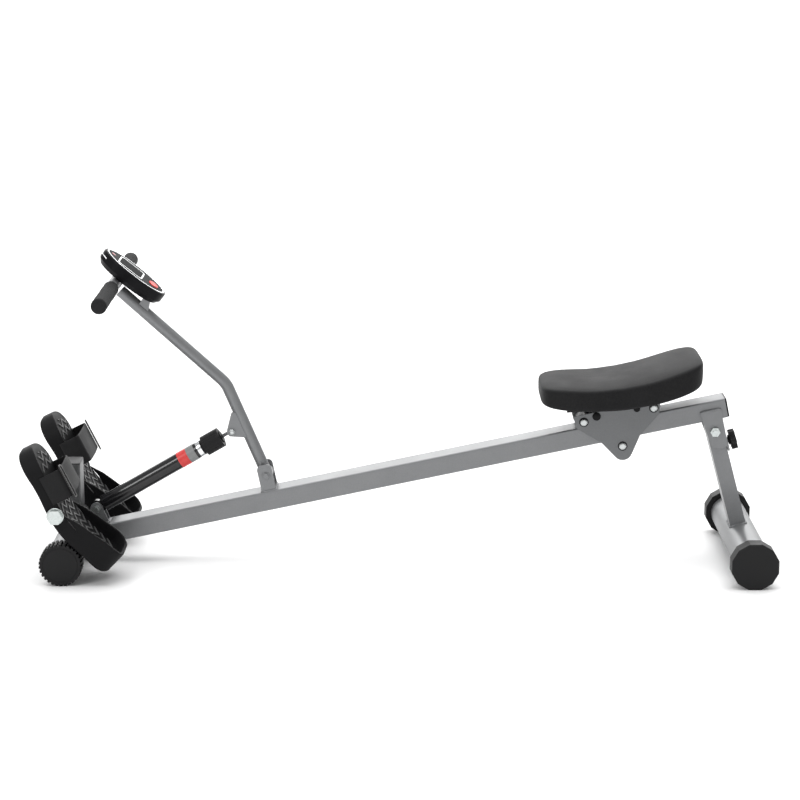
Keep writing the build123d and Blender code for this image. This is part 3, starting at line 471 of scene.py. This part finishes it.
rng = np.random.default_rng(7)
for name, sign in (("left", -1), ("right", 1)):
    inner, outer, radius, lip, end = 0.072, 0.254, 0.014, 0.0035, 0.005
    t = np.linspace(0, math.pi / 2, 9)
    rows = [(inner, 0.0112)]
    rows += [(inner + lip * (1 - math.sin(x)), radius - lip + lip * math.cos(x)) for x in t[::-1]]
    rows += [(y, radius) for y in np.linspace(inner + lip + 0.002, outer - lip - 0.003, 90)]
    rows += [(outer - end + end * math.sin(x), radius - end + end * math.cos(x)) for x in t]
    rows += [(outer, x) for x in (0.006, 0.003, 0.0)]
    phase = rng.uniform(0, 6, 4)

    def squeeze(y, a, phase=phase):
        """Slow dents along and round the sleeve, under half a millimetre."""
        return -0.00022 * (1 + np.sin(70 * y + phase[0]) * np.sin(2 * a + phase[1])) \
            * (np.abs(y) < 0.247) * (np.abs(y) > 0.078)

    profile = np.array(rows)
    profile[:, 0] *= sign
    grip = turned(f"foam_grip_{name}", profile, bar, foam, wave=squeeze)
    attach(grip, "mast")
    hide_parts(f"grip_{name}")

# ---- seat pad ---------------------------------------------------------------------------
# Moulded foam saddle under grained black vinyl, pulled tight over a board and stapled below.
# A closed form: plan outline times a side section, bent along the saddle's curve.
vinyl = finish_of("grained vinyl", (0.005, 0.005, 0.0055), (0.016, 0.016, 0.0165), 0.6, 420.0,
                  depth=0.00012, contrast=2.0, rough_swing=0.05, detail=5.0,
                  Specular_IOR_Level=0.12)
saddle_top = np.polyfit(
    [0.2535, 0.262, 0.292, 0.327, 0.361, 0.395, 0.430, 0.4635, 0.4975, 0.528, 0.541],
    [0.3400, 0.3428, 0.3450, 0.3454, 0.3470, 0.3505, 0.3570, 0.3664, 0.3778, 0.3870, 0.3890], 5)
saddle_under = np.polyfit(
    [0.2535, 0.268, 0.309, 0.367, 0.418, 0.450, 0.488, 0.521, 0.547],
    [0.3065, 0.3048, 0.3030, 0.3046, 0.3092, 0.3158, 0.3262, 0.3362, 0.3460], 5)

SEAT_MIDDLE, SEAT_HALF_LENGTH, SEAT_HALF_WIDTH = 0.4000, 0.1468, 0.1050


def seat_point(round_, h):
    """Plan x = 0.40 + 0.147 rho cos^p, y = w(x) rho sin^p with p = 2 / 5.2, w narrower in front and
    wider behind; z = under(x) + (top(x) - under(x)) lift. rho and lift follow h: 0 at the middle of
    the top, through the side, to 1 at the middle of the underside; the top falls 5 mm towards its
    rim."""
    knots = np.array([
        (0, 0, 1.0), (0.14, 0.50, 0.997), (0.26, 0.84, 0.992), (0.33, 0.945, 0.980),
        (0.375, 0.975, 0.958), (0.41, 0.990, 0.920), (0.44, 0.997, 0.86), (0.47, 0.9995, 0.75),
        (0.50, 1.0, 0.58), (0.54, 0.999, 0.37), (0.58, 0.997, 0.21), (0.62, 0.991, 0.100),
        (0.66, 0.976, 0.032), (0.70, 0.945, 0.006), (0.85, 0.50, 0.0), (1.0, 0, 0.0)])
    rho, lift = (np.interp(h, knots[:, 0], knots[:, k]) for k in (1, 2))
    c, s = np.cos(round_), np.sin(round_)
    power = 2 / 5.2
    x = SEAT_MIDDLE + SEAT_HALF_LENGTH * rho * np.sign(c) * np.abs(c) ** power
    width = (SEAT_HALF_WIDTH - 0.010 * np.clip((0.36 - x) / 0.11, 0, 1) ** 2
             + 0.007 * np.clip((x - 0.36) / 0.10, 0, 1))
    y = width * rho * np.sign(s) * np.abs(s) ** power
    top = (np.polyval(saddle_top, x) - 0.005 * (np.abs(y) / SEAT_HALF_WIDTH) ** 3
           + 0.0022 * np.clip((x - 0.34) / 0.12, 0, 1))
    under = np.polyval(saddle_under, x)
    return np.stack([x, y, under + (top - under) * lift], -1)


ring_count, band_count = 160, 64
r_grid, h_grid = np.meshgrid(np.linspace(0, 2 * math.pi, ring_count, endpoint=False),
                             np.linspace(0.0, 1.0, band_count), indexing="ij")
seat_pad = outward(mesh_piece("seat_cushion", seat_point(r_grid, h_grid).reshape(-1, 3),
                              grid_faces(ring_count, band_count, True, False), vinyl))
smooth = seat_pad.modifiers.new("ease", "SMOOTH")
smooth.iterations = 4
smooth.factor = 0.5
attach(seat_pad, "seat")
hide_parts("seat_pad")

# ---- foot straps ------------------------------------------------------------------------
# A wide rubberised band over each foot, fed through slots beside the sole and doubled back through
# a black wire ring. A flat section is carried along the arch.
strap_rubber = finish_of("strap rubber", (0.009, 0.009, 0.0095), (0.018, 0.018, 0.0185), 0.55,
                         500.0, depth=0.00006, Specular_IOR_Level=0.12)
black_wire = finish_of("black wire", (0.01, 0.01, 0.01), (0.02, 0.02, 0.02), 0.35, 500.0,
                       metallic=0.3)
wear(black_wire, "buckle_left", "buckle_right")
strap_slope = math.radians(63.9)
strap_off = np.array([math.sin(strap_slope), 0, math.cos(strap_slope)])
strap_down = np.array([math.cos(strap_slope), 0, -math.sin(strap_slope)])
strap_seat = np.array([-0.6220, 0, 0.1810])
PEDAL_MIDDLE = 0.1285


def band(name, across, height, thick, width, centre, material):
    """A flat band: the line (across, height) is offset by half its thickness both ways along its
    normal n, then carried across the width: p(s) + t(a) n + w(a), with w and t a superellipse."""
    sides = 40
    line = np.stack([across, height], 1)
    run = np.gradient(line, axis=0)
    run /= np.linalg.norm(run, axis=1, keepdims=True)
    normal = np.stack([-run[:, 1], run[:, 0]], 1)
    a = np.linspace(0, 2 * math.pi, sides, endpoint=False)
    w = np.sign(np.cos(a)) * np.abs(np.cos(a)) ** 0.22 * width / 2
    t = np.sign(np.sin(a)) * np.abs(np.sin(a)) ** 0.75 * thick / 2
    flat = line[:, None] + t[None, :, None] * normal[:, None]
    points = (centre + flat[..., :1] * y_axis + flat[..., 1:] * strap_off
              + w[None, :, None] * strap_down)
    faces = grid_faces(len(line), sides, False, True).tolist()
    last = len(line) * sides - 1
    faces += [tuple(range(sides)), tuple(range(last, last - sides, -1))]
    return outward(mesh_piece(name, points.reshape(-1, 3), faces, material))


for name, sign in (("left", -1), ("right", 1)):
    seat_of_strap = strap_seat + y_axis * sign * PEDAL_MIDDLE
    turn_r, wall, top_h = 0.0085, 0.05656, 0.0290
    q = np.linspace(0, math.pi / 2, 12)
    leg = np.linspace(-0.009, top_h - turn_r - 0.001, 10)
    arc_a, arc_h = wall - turn_r * (1 - np.cos(q)), top_h - turn_r * (1 - np.sin(q))
    flat = np.linspace(wall - turn_r - 0.002, -(wall - turn_r - 0.002), 41)
    across = np.r_[np.full(10, wall), arc_a, flat, -arc_a[::-1], np.full(10, -wall)]
    height = np.r_[leg, arc_h, top_h + 0.0016 * (1 - (flat / 0.046) ** 2), arc_h[::-1], leg[::-1]]
    strap = band(f"foot_strap_{name}", across, height, 0.003, 0.054, seat_of_strap, strap_rubber)
    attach(strap, f"pedal_{name[0]}")
    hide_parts(f"strap_{name}")

# ---- carriage washers and bump plugs ----------------------------------------------------
# A black rubber washer behind each bright bolt head draws a dark rim round it, partly painted
# shade of the hollow the head sits in; two rubber plugs sit in the plates' upper edge under the
# pad, to stop the carriage rattling.
rubber = finish_of("soft black rubber", (0.004, 0.004, 0.0045), (0.008, 0.008, 0.0085), 0.6, 600.0,
                   depth=0.00004, Specular_IOR_Level=0.15)
off_middle = 0.018 + 0.0112 + 0.00005           # half the rail, the roller's radius and a clearance
PLATE_FACE = 0.0341                              # the plates' outer face, out from the middle
# The first three spots are the washers; their dark rims are partly painted shade round the heads.
spots = [(rail_zero + 0.347 * along_rail + off_middle * off_rail, 0.0086, 0.0011),
         (rail_zero + 0.477 * along_rail + off_middle * off_rail, 0.0086, 0.0011),
         (rail_zero + 0.408 * along_rail - off_middle * off_rail, 0.0086, 0.0011),
         (np.array([0.3566, 0, 0.2800]), 0.0075, 0.0030),
         (np.array([0.4298, 0, 0.2945]), 0.0060, 0.0030)]
for i, (spot, r, h) in enumerate(spots):
    for label, sign in (("left", -1), ("right", 1)):
        profile = np.array([(PLATE_FACE, 0.0), (PLATE_FACE, r), (PLATE_FACE + 0.6 * h, r),
                            (PLATE_FACE + h, r - 0.4 * h), (PLATE_FACE + h, 0.0)])
        profile[:, 0] *= sign
        disc = turned(f"rubber_{i}_{label}", profile, spot, rubber, sides=40)
        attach(disc, "seat")

# ---- floor, light and camera ------------------------------------------------------------
# A plain pale floor, a bright even room, a broad soft lamp overhead, a strip of light behind and
# a small softbox that draws the streak on the damper.
floor_paint = finish_of("pale floor", (0.90, 0.90, 0.90), (0.92, 0.92, 0.92), 0.9, 3.0, depth=0.0)
floor = mesh_piece("floor", [(-60, -60, 0), (60, -60, 0), (60, 90, 0), (-60, 90, 0)],
                   [(0, 1, 2, 3)], floor_paint, smooth=False)

world = bpy.data.worlds.new("room")
bpy.context.scene.world = world
world.use_nodes = True
world.node_tree.nodes["Background"].inputs["Color"].default_value = (1, 1, 1, 1)
world.node_tree.nodes["Background"].inputs["Strength"].default_value = 0.58


def softbox(name, place, aim, size, power):
    """A rectangular area lamp at place, turned to aim."""
    data = bpy.data.lights.new(name, "AREA")
    data.shape = "RECTANGLE"
    data.size, data.size_y = size
    data.energy = power
    box = bpy.data.objects.new(name, data)
    bpy.context.scene.collection.objects.link(box)
    box.location = place
    box.rotation_mode = "QUATERNION"
    box.rotation_quaternion = Vector(np.array(aim) - np.array(place)).to_track_quat("-Z", "Y")


softbox("back_strip", (0.0, 6.0, 2.4), (0.0, 0.0, 0.2), (9.0, 3.0), 230)
softbox("streak", (-3.2, -3.25, 2.85), (-0.45, 0.0, 0.2), (1.2, 1.2), 45)
sky_data = bpy.data.lights.new("ceiling", "SUN")
sky_data.energy = 2.65
sky_data.angle = math.radians(70)
ceiling = bpy.data.objects.new("ceiling", sky_data)
bpy.context.scene.collection.objects.link(ceiling)
ceiling.rotation_euler = (math.radians(-8), 0, 0)

LENS_RATIO, LOOK_DOWN = 2377.5 / 800, 12.63     # focal length over picture width; degrees
lens_data = bpy.data.cameras.new("camera")
lens_data.sensor_width = 36.0
lens_data.lens = 36.0 * LENS_RATIO
camera = bpy.data.objects.new("camera", lens_data)
bpy.context.scene.collection.objects.link(camera)
camera.location = (-0.0025, -4.2649, 1.2588)
camera.rotation_euler = (math.radians(90 - LOOK_DOWN), 0, 0)
bpy.context.scene.camera = camera
bpy.context.scene.view_settings.view_transform = "Standard"
